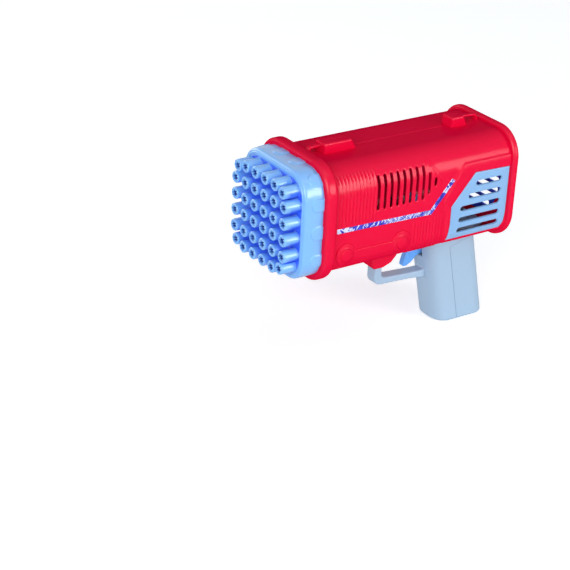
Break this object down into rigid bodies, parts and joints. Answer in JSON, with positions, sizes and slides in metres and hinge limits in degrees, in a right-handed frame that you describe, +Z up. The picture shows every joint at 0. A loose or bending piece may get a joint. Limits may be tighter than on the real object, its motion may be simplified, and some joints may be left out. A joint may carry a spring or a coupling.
{
  "type": "multi-hole bubble blower",
  "caption": "Hand-held bubble blower: square splined-tube nozzle head on a vented red casing with a fan, strap lugs, pistol grip, guard, trigger and battery bay.",
  "frame": {"origin": "centre of the bounding box at the flat bottom of the grip", "axes": "+X out of the nozzle along the barrel, +Y to the blower's left, +Z up"},
  "size_m": [0.225, 0.0962, 0.1794],
  "materials": {
    "red_plastic": "glossy moulded",
    "sky_plastic": "glossy moulded",
    "stripe_print": "printed label",
    "grip_plastic": "satin moulded",
    "black_plastic": "satin",
    "pale_plastic": "satin",
    "steel": "plated",
    "cell_jacket": "printed sleeve",
    "red_lead": "satin",
    "black_lead": "satin"
  },
  "bodies": {
    "housing": {"left_shell": "red_plastic", "right_shell": "red_plastic", "front_collar": "red_plastic", "rear_cap": "red_plastic", "rear_grille": "sky_plastic", "nozzle_head": "sky_plastic", "left_panel": "sky_plastic", "right_panel": "sky_plastic", "left_stripe": "stripe_print", "right_stripe": "stripe_print", "grip_frame": "grip_plastic", "battery_tray": "black_plastic", "battery_cells": "cell_jacket", "battery_contacts": "steel", "battery_springs": "steel", "trigger_pin": "steel", "trigger_spring": "steel", "switch_bracket": "black_plastic", "switch_body": "black_plastic", "fan_bulkhead": "pale_plastic", "motor_can": "steel", "motor_end_bell": "pale_plastic", "motor_mount": "pale_plastic", "mount_screws": "steel", "shell_screws": "steel", "switch_motor_lead": "red_lead", "battery_switch_lead": "red_lead", "motor_battery_lead": "black_lead"},
    "rotor": {"fan_rotor": "pale_plastic", "motor_shaft": "steel"},
    "trigger_body": {"trigger": "sky_plastic"},
    "plunger": {"switch_plunger": "pale_plastic"},
    "door": {"battery_door": "grip_plastic", "door_screw": "steel"}
  },
  "joints": [
    {"name": "fan_spin", "type": "hinge", "parent": "housing", "child": "rotor", "pos_m": [0.05455, 0, 0.128], "axis": [1, 0, 0], "continuous": true},
    {"name": "trigger_pull", "type": "hinge", "parent": "housing", "child": "trigger_body", "pos_m": [-0.03745, 0, 0.094], "axis": [0, 1, 0], "range_deg": [0, 12], "stiffness_Nm_per_rad": 0.2, "springref_deg": -8.59, "deforming": ["trigger_spring"]},
    {"name": "plunger_press", "type": "slide", "parent": "housing", "child": "plunger", "axis": [1, 0, 0], "range_m": [0, 0.0026]},
    {"name": "door_slide", "type": "slide", "parent": "housing", "child": "door", "axis": [-0.9781, 0, 0.2079], "range_m": [0, 0.034]}
  ],
  "couplings": [
    {"joint": "plunger_press", "follows": "trigger_pull", "m_per_rad": 0.012}
  ]
}
